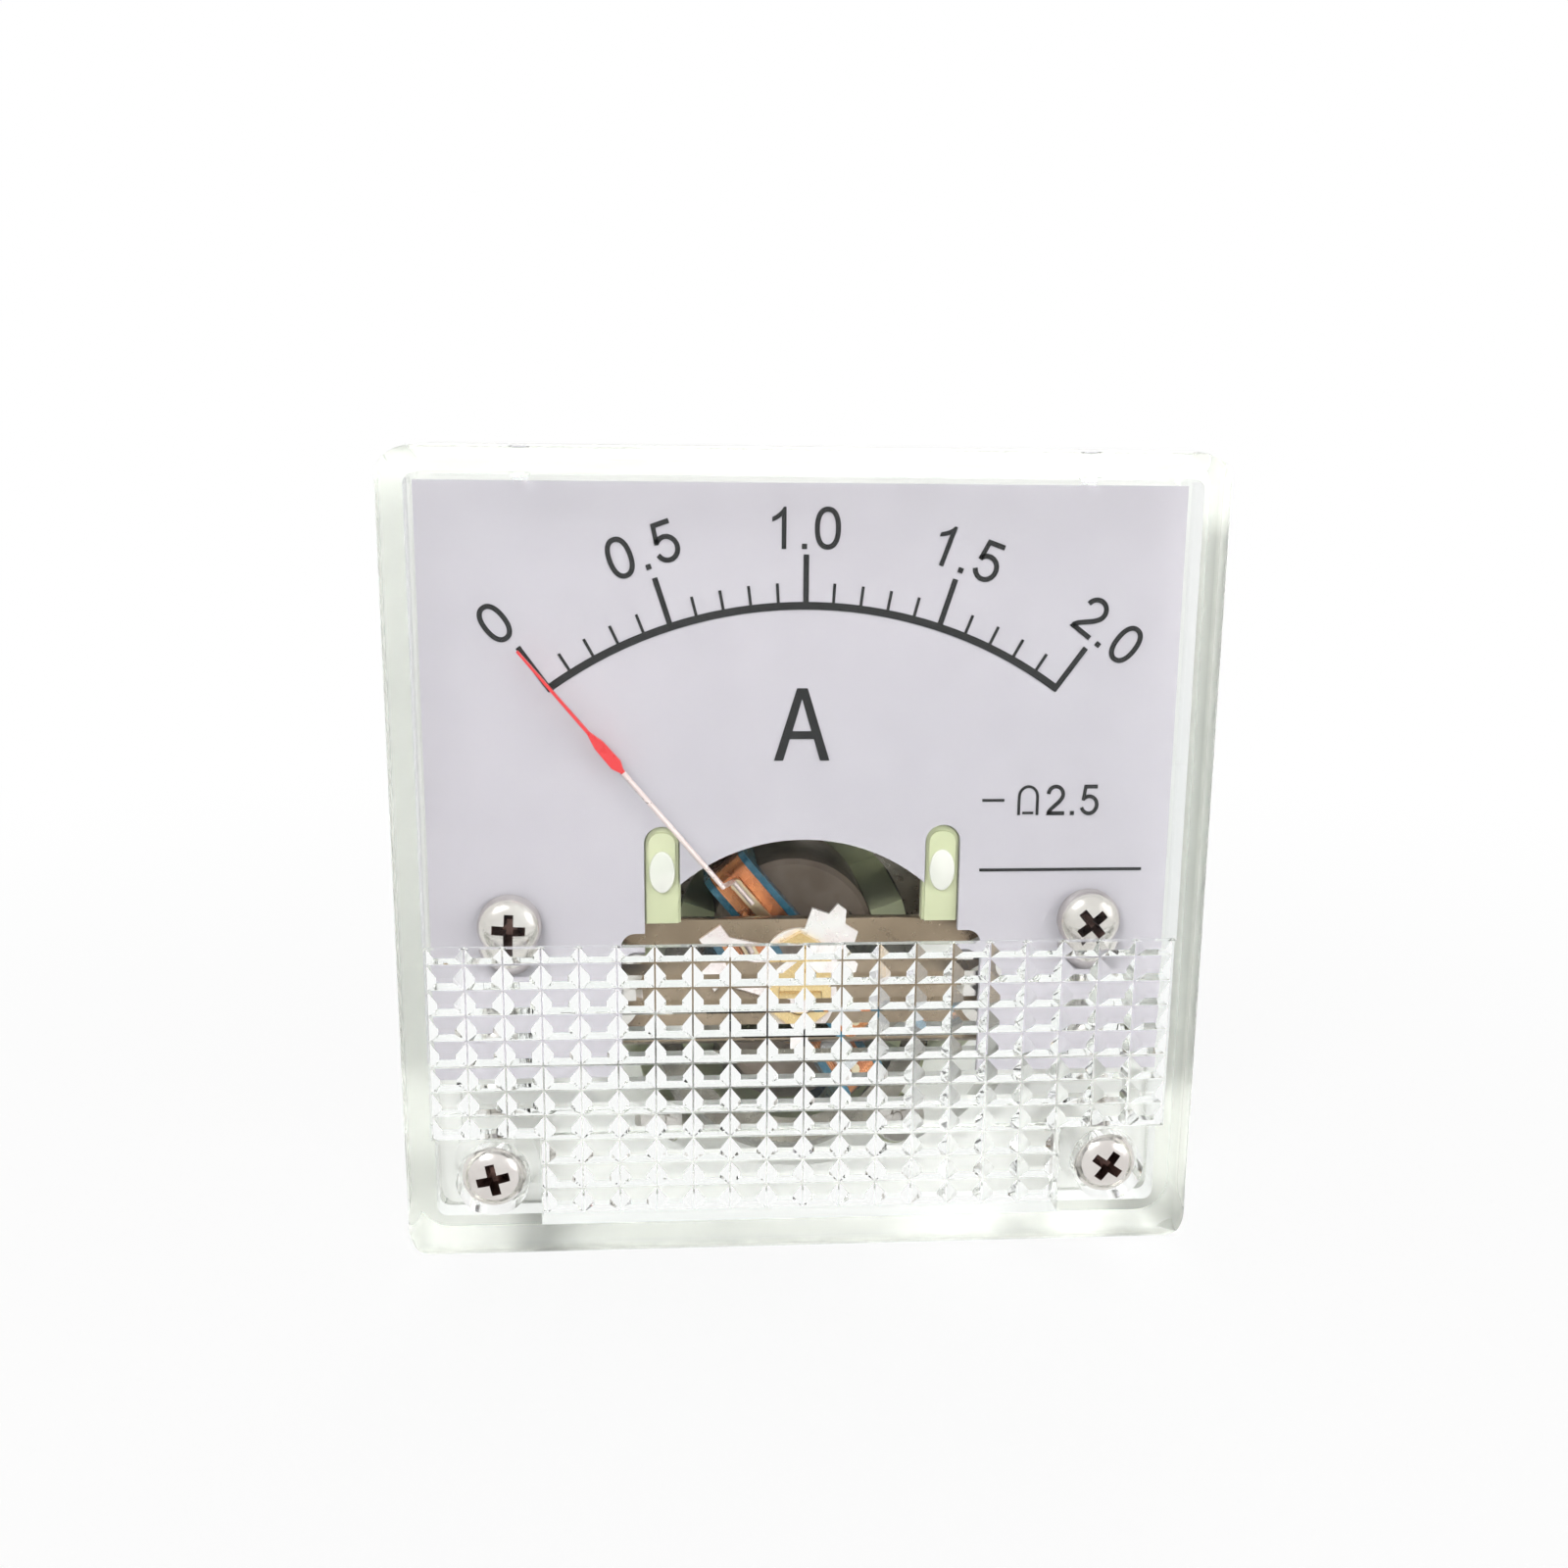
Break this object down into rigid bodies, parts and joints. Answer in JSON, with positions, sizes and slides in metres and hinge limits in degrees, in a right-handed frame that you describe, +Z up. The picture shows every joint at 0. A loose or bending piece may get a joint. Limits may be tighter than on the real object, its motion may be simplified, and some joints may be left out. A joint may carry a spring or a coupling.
{
  "type": "analog panel meter",
  "caption": "Square clear-fronted moving-coil panel meter on a round barrel, with studs and screw terminals behind and a needle swinging over an arched scale.",
  "frame": {"origin": "on the axis of the barrel, in the plane of the panel face that the flange lies on", "axes": "+Z up, +Y from the front towards the terminals, +X to the viewer's right of the dial"},
  "size_m": [0.045, 0.0385, 0.045],
  "materials": {
    "clear_plastic": "gloss",
    "base_plastic": "gloss",
    "frame_plastic": "gloss",
    "dial_paint": "satin",
    "black_ink": "matte",
    "plated_steel": "gloss",
    "brass": "gloss",
    "bridge_brass": "satin",
    "arm_brass": "satin",
    "tinned_metal": "gloss",
    "manganin": "satin",
    "red_insulation": "gloss",
    "black_insulation": "gloss",
    "resistor_body": "satin",
    "yoke_iron": "satin",
    "magnet_alloy": "satin",
    "nickel_silver": "gloss",
    "spring_bronze": "gloss",
    "ruby": "gloss",
    "former_enamel": "satin",
    "copper_wire": "satin",
    "pivot_steel": "gloss",
    "pointer_metal": "gloss",
    "solder": "satin"
  },
  "bodies": {
    "housing": {"cover": "clear_plastic", "base": "base_plastic", "dial_plate": "dial_paint", "dial_scale": "black_ink", "dial_screws": "plated_steel", "cover_screws": "plated_steel", "mounting_studs": "brass", "terminal_studs": "brass", "terminal_fixing_nuts": "brass", "terminal_washers": "plated_steel", "solder_lugs": "tinned_metal", "terminal_nuts": "brass", "shunt": "manganin", "positive_lead": "red_insulation", "swamping_resistor": "resistor_body", "negative_lead": "black_insulation", "movement_frame": "frame_plastic", "movement_screws": "plated_steel", "yoke_ring": "yoke_iron", "core_magnet": "magnet_alloy", "front_bridge": "bridge_brass", "front_bridge_screws": "plated_steel", "pointer_stops": "plated_steel", "front_jewel_screw": "brass", "front_lock_nut": "brass", "front_jewel": "ruby", "rear_bridge": "bridge_brass", "rear_bridge_screws": "plated_steel", "rear_jewel_screw": "brass", "rear_lock_nut": "brass", "rear_jewel": "ruby", "rear_spring_anchor": "bridge_brass", "rear_hairspring": "spring_bronze"},
    "zero_adjuster": {"zero_lever": "nickel_silver", "front_hairspring": "spring_bronze"},
    "moving_element": {"coil_former": "former_enamel", "coil_winding": "copper_wire", "front_staff": "pivot_steel", "rear_staff": "pivot_steel", "pointer_arm": "arm_brass", "pointer": "pointer_metal", "balance_weights": "solder"}
  },
  "joints": [
    {"name": "pointer_swing", "type": "hinge", "parent": "housing", "child": "moving_element", "pos_m": [0, 0.0055, -0.0069], "axis": [0, 1, 0], "range_deg": [-3, 83], "stiffness_Nm_per_rad": 0.000008, "deforming": ["front_hairspring", "rear_hairspring"]},
    {"name": "zero_adjust", "type": "hinge", "parent": "housing", "child": "zero_adjuster", "pos_m": [0, -0.003, -0.0069], "axis": [0, 1, 0], "range_deg": [-10, 10]}
  ]
}
